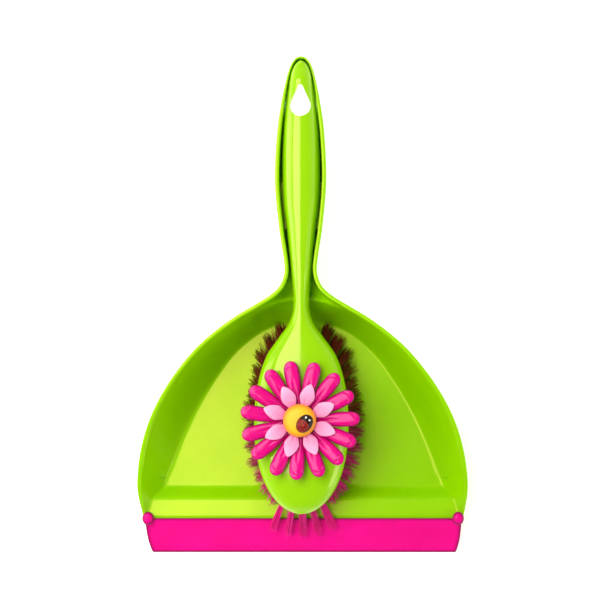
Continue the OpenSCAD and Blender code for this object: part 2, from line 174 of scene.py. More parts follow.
def brush_half(y):
    y = np.asarray(y, float)
    toe = HEAD_HALF * blunt((HEAD_Y - y) / TOE_LEN, 2.3, 0.5)
    grip = curve([[HEAD_Y, HEAD_HALF], [-55, 29.8], [-35, 23.7], [-22, 15], [-12, 8.2], [0, 5.4],
                  [23, 7.1], [50, 9.9], [71, GRIP_HALF - 0.4], [96, GRIP_HALF], [116, GRIP_HALF - 0.8],
                  [128, GRIP_HALF - 1.9], [139, GRIP_HALF - 3.3], [150, GRIP_HALF - 4.9],
                  [166, GRIP_HALF - 7.1]], y)
    return np.where(y < HEAD_Y, toe, grip * blunt((y - 154) / (GRIP_END - 154), 2.4, 0.5))


def crown_z(y):
    return curve([[HEAD_Y - TOE_LEN, 37], [-137, 41], [-125, 44], [-100, 46], [-45, 46],
                  [-8, 45.5], [25, 47.5], [80, 50.5], [125, 50], [152, 47], [GRIP_END, 42]], y)


def edge_z(y):
    return curve([[-45, HEAD_Z], [-5, HEAD_Z + 1.5], [30, HEAD_Z + 1.5], [80, HEAD_Z + 1],
                  [GRIP_END, HEAD_Z + 4]], y)


# ---- Mesh helpers ----------------------------------------------------------------------

def add_piece(name, verts, faces, material, body, sharp=40, replaces=()):
    """Makes a smooth-shaded piece from millimetre points and puts it on its body."""
    mesh = bpy.data.meshes.new(name)
    mesh.from_pydata((np.asarray(verts, float) * MM).tolist(), [], [list(f) for f in faces])
    mesh.validate()
    skin = bmesh.new()
    skin.from_mesh(mesh)
    bmesh.ops.recalc_face_normals(skin, faces=skin.faces[:])
    skin.to_mesh(mesh)
    skin.free()
    obj = bpy.data.objects.new(name, mesh)
    bpy.context.scene.collection.objects.link(obj)
    finish_mesh(obj, sharp)
    obj.data.materials.append(material)
    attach(obj, body)
    if replaces:
        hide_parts(*replaces)
    return obj


def finish_mesh(obj, sharp):
    mesh = obj.data
    mesh.update()
    mesh.polygons.foreach_set("use_smooth", [True] * len(mesh.polygons))
    mesh.set_sharp_from_angle(angle=math.radians(sharp))


def add_values(obj, name, values):
    """Stores one number a vertex for a material to read."""
    layer = obj.data.attributes.new(name, "FLOAT", "POINT")
    layer.data.foreach_set("value", np.asarray(values, np.float32))


def loop_skin(rows, cols, offset=0):
    """Quads between successive closed loops of points."""
    i, j = np.meshgrid(np.arange(rows - 1), np.arange(cols), indexing="ij")
    k = (j + 1) % cols
    return np.stack([i * cols + j, (i + 1) * cols + j, (i + 1) * cols + k, i * cols + k],
                    -1).reshape(-1, 4) + offset


def shell(upper, lower):
    """Closed skin between an upper and a lower grid of points, strips across both ends."""
    upper, lower = np.asarray(upper, float), np.asarray(lower, float)
    rows, cols = upper.shape[:2]
    loops = np.concatenate([upper, lower[:, ::-1]], axis=1)
    faces = loop_skin(rows, 2 * cols).tolist()
    far = (rows - 1) * 2 * cols
    for j in range(cols - 1):
        a, b, c, d = j, j + 1, 2 * cols - 2 - j, 2 * cols - 1 - j
        faces.append([a, b, c, d])
        faces.append([far + d, far + c, far + b, far + a])
    return loops.reshape(-1, 3), faces


def lathe(profile, steps, centre=(0, 0, 0)):
    """Solid of revolution about Z from [radius, height] points, first and last on the axis."""
    profile = np.asarray(profile, float)
    a = np.arange(steps) * 2 * math.pi / steps
    ring = profile[1:-1]
    verts = np.stack([ring[:, 0, None] * np.cos(a), ring[:, 0, None] * np.sin(a),
                      np.repeat(ring[:, 1, None], steps, 1)], -1).reshape(-1, 3)
    faces = loop_skin(len(ring), steps).tolist()
    count = len(verts)
    verts = np.vstack([verts, [[0, 0, profile[0, 1]], [0, 0, profile[-1, 1]]]])
    for j in range(steps):
        k = (j + 1) % steps
        faces.append([count, j, k])
        faces.append([count + 1, count - steps + k, count - steps + j])
    return verts + np.array(centre), faces


def cut_teardrop(obj, r, tip):
    """Cuts the hanging hole: a large circle and a small one at its tip, joined by tangents."""
    below, above = 12.0, 70.0
    tip_r = 1.6
    reach = tip - tip_r - HOLE_Y
    touch = math.acos((r - tip_r) / reach)
    big = np.linspace(math.pi / 2 + touch, 2.5 * math.pi - touch, 44)
    small = np.linspace(math.pi / 2 - touch, math.pi / 2 + touch, 13)
    ring = np.vstack([np.c_[r * np.cos(big), HOLE_Y + r * np.sin(big)],
                      np.c_[tip_r * np.cos(small), HOLE_Y + reach + tip_r * np.sin(small)]])
    n = len(ring)
    verts = np.vstack([np.c_[ring, np.full(n, below)], np.c_[ring, np.full(n, above)]])
    faces = [[i, (i + 1) % n, n + (i + 1) % n, n + i] for i in range(n)]
    faces += [list(range(n))[::-1], list(range(n, 2 * n))]
    mesh = bpy.data.meshes.new("hole")
    mesh.from_pydata((verts * MM).tolist(), [], faces)
    tool = bpy.data.objects.new("hole", mesh)
    bpy.context.scene.collection.objects.link(tool)
    cut = obj.modifiers.new("hole", "BOOLEAN")
    cut.operation, cut.solver, cut.object = "DIFFERENCE", "EXACT", tool
    apply_modifiers(obj)
    bpy.data.objects.remove(tool)
    finish_mesh(obj, 50)


def apply_modifiers(obj):
    made = bpy.data.meshes.new_from_object(obj.evaluated_get(bpy.context.evaluated_depsgraph_get()))
    obj.modifiers.clear()
    old, obj.data = obj.data, made
    bpy.data.meshes.remove(old)


# ---- Materials -------------------------------------------------------------------------

class Nodes:
    """A material's node tree, with a short way to add and link nodes."""

    def __init__(self, name):
        self.material = bpy.data.materials.new(name)
        self.material.use_nodes = True
        self.tree = self.material.node_tree
        self.shader = self.tree.nodes["Principled BSDF"]
        self.place = self.add("ShaderNodeTexCoord").outputs["Object"]

    def add(self, kind, inputs=(), **settings):
        node = self.tree.nodes.new(kind)
        for key, value in settings.items():
            setattr(node, key, value)
        for key, value in dict(inputs).items():
            self.put(value, node.inputs[key])
        return node

    def put(self, value, socket):
        if isinstance(value, bpy.types.NodeSocket):
            self.tree.links.new(value, socket)
        else:
            socket.default_value = value

    def noise(self, scale, detail=3, roughness=0.5, vector=None):
        return self.add("ShaderNodeTexNoise", {
            "Vector": vector or self.place, "Scale": scale, "Detail": detail,
            "Roughness": roughness}).outputs["Fac"]

    def stretched(self, x, y, z):
        return self.add("ShaderNodeVectorMath", {0: self.place, 1: (x, y, z)},
                        operation="MULTIPLY").outputs[0]

    def remap(self, value, low, high, to_low, to_high):
        return self.add("ShaderNodeMapRange", {
            0: value, 1: low, 2: high, 3: to_low, 4: to_high}, clamp=True).outputs[0]

    def mix(self, factor, first, second):
        node = self.add("ShaderNodeMix", data_type="RGBA")
        self.put(factor, node.inputs[0])
        self.put(first, node.inputs[6])
        self.put(second, node.inputs[7])
        return node.outputs[2]

    def math(self, operation, first, second=0.0):
        return self.add("ShaderNodeMath", {0: first, 1: second}, operation=operation).outputs[0]

    def bump(self, height, distance, strength=1.0, normal=None):
        inputs = {"Height": height, "Distance": distance, "Strength": strength}
        if normal:
            inputs["Normal"] = normal
        return self.add("ShaderNodeBump", inputs).outputs[0]

    def set(self, **inputs):
        for key, value in inputs.items():
            self.put(value, self.shader.inputs[key.replace("_", " ")])
        return self.material


def rgb(red, green, blue):
    """Linear colour from sRGB numbers of 0 to 255."""
    part = [v / 255 for v in (red, green, blue)]
    return tuple(v / 12.92 if v <= 0.04045 else ((v + 0.055) / 1.055) ** 2.4 for v in part) + (1,)


def moulded_plastic(name, base, deep, tint, rough, coat, shine, rim=None):
    """Glossy injection-moulded plastic: flow streaks, orange peel, scratches, and maybe a rim of painted
    shade.
    """
    n = Nodes(name)
    flow = n.noise(18, 4, 0.6, n.stretched(1.0, 0.25, 1.0))
    cloud = n.noise(55, 3)
    tone = n.math("ADD", n.math("MULTIPLY", flow, 0.7), n.math("MULTIPLY", cloud, 0.3))
    colour = n.mix(n.remap(tone, 0.38, 0.66, 0.0, 1.0), base, deep)
    # Painted shade: where the edge attribute is set, the colour deepens to the rim colour.
    if rim:
        edge = n.add("ShaderNodeAttribute", attribute_name="edge").outputs["Fac"]
        colour = n.mix(edge, colour, rim)
    scratch = n.noise(900, 2, 0.5, n.stretched(1.0, 0.02, 1.0))
    hairs = n.remap(scratch, 0.70, 0.78, 0.0, 1.0)
    smudge = n.remap(n.noise(28, 5, 0.65), 0.35, 0.7, rough * 0.75, rough * 1.35)
    peel = n.bump(n.noise(260, 2), 0.00002, 0.6)
    surface = n.bump(n.noise(2600, 2, 0.6), 0.000004, 0.6, peel)
    return n.set(
        Base_Color=colour,
        Roughness=n.math("ADD", smudge, n.math("MULTIPLY", hairs, 0.12)),
        Normal=surface, Coat_Weight=coat, Coat_Roughness=0.08, Specular_IOR_Level=shine,
        Specular_Tint=tint, Subsurface_Weight=0.1, Subsurface_Radius=(0.6, 1.0, 0.2),
        Subsurface_Scale=0.003)


def soft_rubber(name, base, deep):
    """Satin rubber: fine stipple, soft blotches, and painted shade along its thin edges."""
    n = Nodes(name)
    blotch = n.noise(40, 4, 0.6)
    colour = n.mix(n.remap(blotch, 0.35, 0.7, 0.0, 1.0), base, deep)
    # Painted shade: the edge attribute darkens the rubber towards rgb(122, 2, 64) at its rounded edges.
    edge = n.add("ShaderNodeAttribute", attribute_name="edge").outputs["Fac"]
    colour = n.mix(edge, colour, rgb(122, 2, 64))
    stipple = n.bump(n.noise(1500, 3, 0.7), 0.00002, 0.5)
    drag = n.noise(500, 2, 0.5, n.stretched(0.03, 1.0, 1.0))
    return n.set(
        Base_Color=colour, Normal=n.bump(drag, 0.00003, 0.3, stipple),
        Roughness=n.remap(n.noise(120, 3), 0.3, 0.7, 0.34, 0.52), Specular_IOR_Level=0.35,
        Specular_Tint=(1.0, 0.3, 0.7, 1), Subsurface_Weight=0.1,
        Subsurface_Radius=(1.0, 0.2, 0.4), Subsurface_Scale=0.002)


lime = moulded_plastic("lime_plastic", rgb(146, 213, 1), rgb(137, 206, 0), (1.0, 0.62, 0.2, 1),
                       0.16, 0.0, 0.75)
lime_gloss = moulded_plastic("lime_gloss", rgb(150, 212, 1), rgb(141, 205, 0), (1.0, 0.7, 0.3, 1),
                             0.13, 0.4, 0.6)
# petal_pink's last colour, rgb(120, 0, 62), is painted shade for the petals' sides, roots and tips.
petal_pink = moulded_plastic("petal_pink", rgb(226, 2, 134), rgb(206, 0, 118), (1.0, 0.4, 0.8, 1),
                             0.22, 0.2, 0.4, rgb(120, 0, 62))
pink_rubber = soft_rubber("pink_rubber", rgb(240, 2, 144), rgb(228, 1, 132))


def pale_petal():
    """Satin pale-pink plastic; the pinker colour towards the flower's middle is painted shade and
    inter-reflected light.
    """
    n = Nodes("petal_pale")
    away = n.add("ShaderNodeVectorMath", {0: n.place, 1: (0, FLOWER_Y * MM, 0.05)},
                 operation="DISTANCE").outputs["Value"]
    # Painted shade and inter-reflected light: deeper pink near the dome.
    tone = n.remap(away, 0.011, 0.024, 1.0, 0.0)
    colour = n.mix(tone, rgb(240, 166, 214), rgb(226, 96, 164))
    veins = n.noise(700, 3, 0.6)
    colour = n.mix(n.remap(veins, 0.4, 0.7, 0.0, 0.3), colour, rgb(244, 186, 224))
    return n.set(Base_Color=colour, Roughness=n.remap(n.noise(90, 3), 0.3, 0.7, 0.34, 0.5),
                 Normal=n.bump(veins, 0.00002, 0.5), Subsurface_Weight=0.15,
                 Subsurface_Radius=(1.0, 0.4, 0.5), Subsurface_Scale=0.002)


def dome_yellow():
    """Yellow plastic; the orange towards its edge is painted shade and pink bounce light from the petals.
    """
    n = Nodes("dome_yellow")
    flat = n.stretched(1, 1, 0)
    away = n.add("ShaderNodeVectorMath", {0: flat, 1: (0, FLOWER_Y * MM, 0)},
                 operation="DISTANCE").outputs["Value"]
    # Painted shade and pink bounce light: orange towards the dome's edge.
    edge = n.remap(away, 0.0075, 0.0112, 0.0, 1.0)
    colour = n.mix(edge, rgb(250, 190, 0), rgb(230, 122, 12))
    grain = n.noise(900, 3, 0.6)
    colour = n.mix(n.remap(grain, 0.4, 0.75, 0.0, 0.3), colour, rgb(252, 176, 0))
    return n.set(Base_Color=colour, Roughness=n.remap(n.noise(100), 0.3, 0.7, 0.42, 0.56),
                 Normal=n.bump(grain, 0.00002, 0.5), Subsurface_Weight=0.1,
                 Subsurface_Radius=(1.0, 0.6, 0.1), Subsurface_Scale=0.002)


def paint(name, base, deep, rough=0.18):
    """Glossy paint with slightly uneven cover."""
    n = Nodes(name)
    cover = n.noise(1400, 3, 0.6)
    return n.set(Base_Color=n.mix(n.remap(cover, 0.35, 0.7, 0.0, 1.0), base, deep),
                 Roughness=n.remap(n.noise(600), 0.3, 0.7, rough * 0.8, rough * 1.5),
                 Normal=n.bump(cover, 0.00003, 0.4), Specular_IOR_Level=0.3)


def filament():
    """Magenta filaments, each its own random tone; the brown-maroon by the neck is painted shade and green
    bounce light from the pan.
    """
    n = Nodes("filament")
    shade = n.add("ShaderNodeAttribute", attribute_name="shade")
    red = n.add("ShaderNodeSeparateColor", {0: shade.outputs["Color"]}).outputs["Red"]
    along = n.add("ShaderNodeSeparateXYZ", {0: n.place})
    # Painted shade: back from the toe, under the cover, the filaments get a dark maroon that stands in for
    # shade and green bounce light.
    toe = n.remap(along.outputs["Y"], -0.134, -0.070, 1.0, 0.0)
    painted_shade_maroon = n.mix(red, rgb(74, 18, 12), rgb(140, 46, 40))
    bright = n.mix(red, rgb(214, 0, 100), rgb(255, 44, 170))
    colour = n.mix(toe, painted_shade_maroon, bright)
    streak = n.noise(3000, 2)
    return n.set(Base_Color=n.mix(n.remap(streak, 0.3, 0.7, 0.0, 0.18), colour, rgb(90, 4, 34)),
                 Roughness=n.remap(streak, 0.3, 0.7, 0.3, 0.5), Normal=n.bump(streak, 0.00002, 0.3),
                 Specular_IOR_Level=0.2)


def steel():
    """Zinc-plated steel with fine turning marks."""
    n = Nodes("steel")
    marks = n.noise(2500, 3, 0.6, n.stretched(1, 1, 0.05))
    return n.set(Base_Color=n.mix(marks, rgb(170, 172, 176), rgb(206, 208, 212)), Metallic=1.0,
                 Roughness=n.remap(marks, 0.3, 0.7, 0.22, 0.42), Normal=n.bump(marks, 0.00001, 0.5))


# ---- Dustpan ---------------------------------------------------------------------------

def pan_rows():
    front = np.concatenate([np.linspace(FLANGE_Y, LIP_Y, 9), np.arange(LIP_Y + 0.4, -118, 0.8)])
    pan = np.arange(-118, -40, 2.2)
    neck = np.arange(-40, 26, 1.1)
    grip = np.arange(26, 146, 1.8)
    nose = 146 + (HALF_LEN - 146) * np.sin(np.radians(np.linspace(0, 90, 26)))
    return np.concatenate([front, pan, neck, grip, nose])


def pan_columns(y):
    """Columns across one row: spread over the floor, crowded at its corner and under the bead."""
    half = mouth_half(y)
    corner = np.minimum(0.86 * half, curve([[-124, 94], [-99, 85], [-61, 67], [-31, 45], [-16, 24],
                                            [-4, 12], [20, 5.5], [84, 9]], y))
    floor = 1 - (1 - np.linspace(0, 1, 16)) ** 1.6
    wall = np.concatenate([np.linspace(0, 0.3, 9)[1:], np.linspace(0.3, 0.86, 14)[1:],
                           [0.9, 0.93, 0.96, 0.98, 1.0]])
    side = np.concatenate([floor * corner, corner + wall * (half - corner)])
    return np.concatenate([-side[:0:-1], side])


def bead_path(y, top):
    """Offsets (across from the opening, down from the top) round the bead, outside last."""
    half, out = float(mouth_half(y)), float(rim_half(y))
    across = [0.05, 0.14, 0.3, 0.7, 0.88, 0.97, 1.0]
    down = [0.22, 0.06, 0.0, 0.0, 0.08, 0.26, 0.6]
    upper = [(half + a * (out - half), top - d) for a, d in zip(across, down)]
    lower = [(half + a * (out - half), top - d) for a, d in
             [(0.80, 3.0), (0.88, 3.06), (0.94, 3.02), (0.98, 2.92), (1.0, 2.72), (1.0, 2.3), (1.0, 1.6)]]
    return upper, lower


def pan_moulding():
    rows = pan_rows()
    x = np.array([pan_columns(y) for y in rows])
    y = np.repeat(rows[:, None], x.shape[1], 1)
    z = inner_z(x, y)
    z[:, [0, -1]] -= 0.5
    side = np.where(x > 0, -0.5, 0.5)
    gx = (inner_z(x + side, y) - inner_z(x, y)) / side
    gy = (inner_z(x, y) - inner_z(x, y - 0.5)) / 0.5
    gy[[0, -1]] = 0
    normal = np.stack([-gx, -gy, np.ones_like(gx)], -1)
    normal /= np.linalg.norm(normal, axis=-1, keepdims=True)
    inside = np.stack([x, y, z], -1)
    thick = np.minimum(WALL, bead(rows) - 0.1)
    outside = inside - thick[:, None, None] * normal
    upper, lower = [], []
    for i, row_y in enumerate(rows):
        up, down = bead_path(row_y, rim_top(row_y))
        upper.append([[-a, row_y, b] for a, b in reversed(up)] + inside[i].tolist()
                     + [[a, row_y, b] for a, b in up])
        lower.append([[-a, row_y, b] for a, b in reversed(down)] + outside[i].tolist()
                     + [[a, row_y, b] for a, b in down])
    verts, faces = shell(upper, lower)
    pan = add_piece("pan_moulding", verts, faces, lime, "dustpan", 50, ["pan_shell"])
    cut_teardrop(pan, 7.6, 150.4)
    return pan


def shelf(side):
    """The small shelf on a channel wall, under the edge of the brush's grip."""
    mid = 67.0
    centre = Vector((side * (mouth_half(mid) - 2.4), mid, edge_z(mid) - 1.8))
    half = np.array([1.8, 16, 1.5])
    profile = [(a, b) for a, b in [(-1, -0.7), (-0.9, -1), (1, -1), (1, 1), (-0.8, 1), (-1, 0.7)]]
    verts = [[a * half[0] * side, s * half[1], b * half[2]] for s in np.linspace(-1, 1, 9)
             for a, b in profile]
    faces = loop_skin(9, len(profile)).tolist()
    last = 8 * len(profile)
    faces += [list(range(len(profile)))[::-1], [last + i for i in range(len(profile))]]
    turn = Matrix.Rotation(math.radians(-4.7 * side), 3, "Z")
    verts = [turn @ Vector(v) + centre for v in verts]
    name = "rest_shelf_left" if side < 0 else "rest_shelf_right"
    return add_piece(name, verts, faces, lime, "dustpan", 40)


def lip_half(y):
    """Half width of the lip, which bows in towards the ground edge."""
    return PAN_HALF + curve([[-HALF_LEN, -9.2], [LIP_Y - 22, -8.4], [LIP_Y - 18.5, -7.2],
                             [LIP_Y - 14, -6.0], [LIP_Y - 6, -4.9], [LIP_Y, -4.4]], y)


def lip_top(y):
    t = (LIP_Y - y) / LIP_RUN
    return LEDGE_Z + LIP_T - (LEDGE_Z + LIP_T - 0.9) * t


def lip_strip():
    """The rubber strip, with soft edges along the ledge and a thin edge on the ground."""
    end_y = LIP_Y - LIP_RUN
    top = [(LIP_Y, LEDGE_Z + 0.15), (LIP_Y, LEDGE_Z + 0.9), (LIP_Y - 0.12, LEDGE_Z + 1.3),
           (LIP_Y - 0.45, lip_top(LIP_Y - 0.45)), (LIP_Y - 1.2, lip_top(LIP_Y - 1.2))]
    top += [(y, lip_top(y)) for y in np.linspace(LIP_Y - 2.2, end_y + 2.4, 14)]
    top += [(end_y + 1.5, lip_top(end_y + 1.5)), (end_y + 0.7, lip_top(end_y + 0.7))]
    top += [(end_y + 0.15, 0.84), (end_y, 0.62), (end_y, 0.28), (end_y + 0.2, 0.05)]
    bottom = [(end_y + 2.5, 0.0), (FLANGE_Y - 0.2, lip_top(FLANGE_Y) - 3.4),
              (FLANGE_Y - 0.2, lip_top(FLANGE_Y) - 1.9)]
    profile = np.array(top + bottom)
    across = np.concatenate([[-1, -0.9985, -0.996, -0.99], np.linspace(-0.97, 0.97, 61),
                             [0.99, 0.996, 0.9985, 1]])
    tuck = np.array([0.45, 0.12, 0.03, 0.0] + [0.0] * 61 + [0.0, 0.03, 0.12, 0.45])
    verts = []
    for s, t in zip(across, tuck):
        for y, z in profile:
            drop = t * min(1.0, z / 2)
            verts.append([s * float(lip_half(y)), y, z - drop])
    faces = loop_skin(len(across), len(profile)).tolist()
    last = (len(across) - 1) * len(profile)
    faces += [list(range(len(profile)))[::-1], [last + i for i in range(len(profile))]]
    strip = add_piece("lip_strip", verts, faces, pink_rubber, "dustpan", 35, ["pan_lip"])
    # Painted shade along the lip's edges and at its step onto the ledge.
    place = np.array(verts)
    inset = np.minimum(np.minimum(LIP_Y - place[:, 1], place[:, 1] - end_y),
                       lip_half(place[:, 1]) - np.abs(place[:, 0]))
    add_values(strip, "edge", np.exp(-(np.maximum(0, inset) / 1.2) ** 2))
    return strip


def stud_button(side):
    """Rubber button: a rounded head with a small dimple, on a short pin."""
    node = "lip_stud_left" if side < 0 else "lip_stud_right"
    low, high = box_mm(node)
    r = (high[1] - low[1]) / 2 / 1.12 * 0.96
    centre = np.array([side * (max(abs(low[0]), abs(high[0])) - r), (low[1] + high[1]) / 2])
    profile = [(0, 12.0), (1.0, 12.0), (1.0, 14.0), (r - 0.5, 14.0), (r - 0.1, 14.15), (r, 14.5), (r, 15.1)]
    profile += [(r * math.cos(a), 15.2 + 2.6 * math.sin(a)) for a in np.radians(np.arange(8, 84, 7.5))]
    profile += [(0.45, 17.75), (0, 17.7)]
    verts, faces = lathe(profile, 40)
    verts = verts * [1, 1.16, 1] + [centre[0], centre[1], 0]
    name = "stud_button_left" if side < 0 else "stud_button_right"
    button = add_piece(name, verts, faces, pink_rubber, "dustpan", 50, [node])
    # Painted shade, deepening towards the button's rounded rim.
    out = np.hypot(verts[:, 0] - centre[0], (verts[:, 1] - centre[1]) / 1.16) / r
    add_values(button, "edge", 0.1 + 0.8 * ease((out - 0.5) / 0.45))
    return button


# ---- Brush -----------------------------------------------------------------------------

def cover_section(y, arc):
    """Upper points of the cover's section: a skirt and a crowned top."""
    half = max(0.6, float(brush_half(y)))
    base = float(edge_z(y)) + 2
    c, s = np.cos(arc), np.abs(np.sin(arc))
    across = half * np.sign(c) * np.abs(c) ** (2 / 2.4)
    up = base + (float(crown_z(y)) - base) * s ** (2 / 2.4)
    return np.stack([across, np.full_like(across, y), up], -1)


def hollow(y):
    """Depth of the recess under the cover."""
    head = 4.2 * ease((y + 134.4) / 0.8) * ease((-19.6 - y) / 0.8)
    grip = 7.7 * ease((y - 13.6) / 0.8) * ease((118.4 - y) / 0.8)
    return 0.3 + head + grip


def cover_moulding():
    toe = HEAD_Y - TOE_LEN * np.sin(np.radians(np.linspace(90, 0, 40)))
    head = np.arange(-77, -20, 1.8)
    neck = np.arange(-20, 22, 1.2)
    grip = np.arange(22, 136, 2.0)
    tip = 136 + (GRIP_END - 136) * np.sin(np.radians(np.linspace(0, 90, 30)))
    steps = np.array([-134.5, -134.2, -133.9, -133.6, -20.4, -20.1, -19.8, -19.5,
                      13.5, 13.8, 14.1, 14.4, 117.5, 117.8, 118.1, 118.4])
    rows = np.unique(np.concatenate([toe, head, neck, grip, tip, steps]).round(3))
    arc = math.pi * (1 - 0.5 * (1 - np.cos(np.linspace(0, math.pi, 45)))) * 0.5 \
        + math.pi * (1 - np.linspace(0, 1, 45)) * 0.5
    upper, lower = [], []
    for y in rows:
        top = cover_section(y, arc)
        half = max(0.6, float(brush_half(y)))
        z = float(edge_z(y))
        inside = max(half * 0.5, half - WALL - 0.2)
        roof = z + float(hollow(y))
        skirt = [[half, y, z + 1.2], [half - 0.02, y, z + 0.5]]
        upper.append([[-p[0], p[1], p[2]] for p in reversed(skirt)] + top.tolist() + skirt)
        edge = [[half - 0.1, y, z + 0.2], [half - 0.35, y, z], [inside, y, z],
                [inside - 0.01 * half, y, roof - 0.2], [inside - 0.03 * half, y, roof]]
        across = [[f * inside * 0.96, y, roof] for f in np.linspace(-1, 1, len(upper[-1]) - 8)[1:-1]]
        lower.append([[-p[0], p[1], p[2]] for p in edge] + across + edge[::-1])
    verts, faces = shell(upper, lower)
    cover = add_piece("cover_moulding", verts, faces, lime_gloss, "brush", 50, ["brush_cover"])
    cut_teardrop(cover, 6.9, 148.6)
    return cover


# ---- Filaments -------------------------------------------------------------------------

RING_Y = -80.0
TOE_SPAN, NECK_SPAN = 62.0, 65.0
RIM_COUNT = 34


def ring_point(scale, angle):
    a = math.radians(angle)
    if math.sin(a) < 0:
        y = RING_Y + TOE_SPAN * math.sin(a)
    else:
        y = RING_Y + NECK_SPAN * (1 - abs(90 - angle) / 90)
    x = np.sign(round(math.cos(a), 9)) * float(brush_half(y))
    return np.array([scale * x, RING_Y + scale * (y - RING_Y)])


def ground_z(y):
    return float(front_z(y) if y > LIP_Y + 0.5 else lip_top(y))


def tip_z(y):
    return max(ground_z(y - 3), ground_z(y + 1.6)) + 2.5


def tuft_at(scale, angle, run):
    a = math.radians(angle)
    root = ring_point(scale, angle)
    tip = root + run * np.array([math.cos(a), math.sin(a) * 0.9])
    return np.array([*root, BLOCK_Z]), np.array([*tip, tip_z(tip[1])])


def rim_run(angle):
    """Run of a tuft in the outer ring, longest on both sides of the neck."""
    a = math.radians(angle)
    return 12 + (9 * float(ease((math.sin(a) - 0.6) / 0.4)) if abs(math.cos(a)) > 0.1 else 0)


def ring_tufts():
    """Roots and tips of every tuft, by CAD node."""
    rim = [-90 + i * 360 / RIM_COUNT for i in range(RIM_COUNT)]
    toe = [a for a in rim if a < -60 or a > 240]
    return {
        "tufts_rim": [tuft_at(0.80, a, rim_run(a)) for a in rim if a not in toe],
        "tufts_toe": [tuft_at(0.80, a, 30) for a in toe],
        "tufts_middle": [tuft_at(0.60, i * 15 + 7.5, 9) for i in range(24)],
        "tufts_inner": [tuft_at(0.40, i * 22.5, 5) for i in range(16)],
        "tufts_core": [tuft_at(0.20, i * 360 / 7 + 12, 2) for i in range(7)],
    }


def bunch(node, tufts, count, spread):
    """All filaments of a ring of tufts as one mesh: tapered, slightly bowed and uneven."""
    verts, faces, shades = [], [], []
    rings, sides = 7, 4
    for root, tip in tufts:
        lean = tip - root
        for _ in range(count):
            a, r = rng.uniform(0, 2 * math.pi), math.sqrt(rng.uniform(0, 1))
            disc = np.array([math.cos(a), math.sin(a), 0]) * r
            start = root + disc * 1.35 + [0, 0, 3.0]
            end = root + lean * rng.uniform(0.93, 1.03) + disc * spread * rng.uniform(0.7, 1.3)
            end += rng.normal(0, 0.55, 3) * [1, 1, 0.3]
            end[2] = max(end[2], tip_z(end[1]) - 1.9 + rng.uniform(0, 0.8))
            bow = start * 0.5 + end * 0.5 + np.array([-lean[0], -lean[1], 0]) * 0.10
            bow += rng.normal(0, 0.35, 3)
            first = len(verts)
            thick = rng.uniform(0.17, 0.25)
            shade = rng.uniform(0, 1)
            for k in range(rings):
                t = k / (rings - 1)
                p = (1 - t) ** 2 * start + 2 * t * (1 - t) * bow + t * t * end
                way = 2 * (1 - t) * (bow - start) + 2 * t * (end - bow)
                way /= np.linalg.norm(way)
                across = np.cross(way, [0.3, 0.9, 0.1])
                across /= np.linalg.norm(across)
                other = np.cross(way, across)
                radius = thick * (1 - 0.45 * t ** 3)
                for s in range(sides):
                    b = s * 2 * math.pi / sides
                    verts.append(p + radius * (across * math.cos(b) + other * math.sin(b)))
                    shades.append(shade)
            faces += loop_skin(rings, sides, first).tolist()
            last = first + (rings - 1) * sides
            faces += [[first + 3, first + 2, first + 1, first], [last, last + 1, last + 2, last + 3]]
    piece = add_piece(node.replace("tufts", "filaments"), verts, faces, bristle, "brush", 60,
                      [node])
    colours = piece.data.color_attributes.new("shade", "FLOAT_COLOR", "POINT")
    tint = np.repeat(np.array(shades)[:, None], 4, 1)
    tint[:, 3] = 1
    colours.data.foreach_set("color", tint.astype(np.float32).ravel())
    return piece


# ---- Flower ----------------------------------------------------------------------------

def petal_points(root, tip, width, thick, kind):
    """Upper and lower grids of one petal along +X, in its own frame."""
    rows, cols = (40, 27) if kind == "outer" else (30, 21)
    long = tip - root
    t = np.sin(np.linspace(0, math.pi / 2, rows))
    v = np.sin(np.linspace(-math.pi / 2, math.pi / 2, cols))
    if kind == "outer":
        shape = (0.74 + 0.26 * ease(t / 0.6)) * blunt((t - 0.76) / 0.24, 2.2, 0.5)
    else:
        shape = (0.42 + 0.58 * ease(t / 0.5)) * blunt((t - 0.42) / 0.58, 1.9, 0.72)
    shape = np.maximum(shape, 0.015)
    half = width / 2 * shape
    t, wide, across = t[:, None], half[:, None], v[None, :]
    side = (1 - np.abs(across)) * wide
    round_off = np.sqrt(np.clip(1 - across ** 2, 0, 1)) * np.minimum(1.0, shape[:, None] * 1.25)
    lift = 1.1 * t ** 2 if kind == "outer" else 1.0 * t ** 1.5
    up = thick * 0.34 * round_off ** 0.7
    if kind == "outer":
        inside = np.minimum(side - 0.85, (0.87 - t) * long - 0.16 * (np.abs(across) * wide) ** 2)
        body = ease(inside / 0.55 + 0.2)
        up = up + body * (0.75 + 0.55 * np.sqrt(np.clip(1 - (across / 0.82) ** 2, 0, 1)))
        up = up - 0.85 * np.exp(-(across / 0.2) ** 2) * ease((0.66 - t) / 0.42)
    else:
        up = up - 0.25 * np.exp(-(across / 0.16) ** 2) * ease((0.7 - t) / 0.5)
    under = -thick * 0.4 * round_off ** 0.7
    place = [np.repeat(root + long * t, cols, 1), wide * across]
    return (np.stack(place + [up + lift + 0.02], -1), np.stack(place + [under + lift - 0.02], -1))


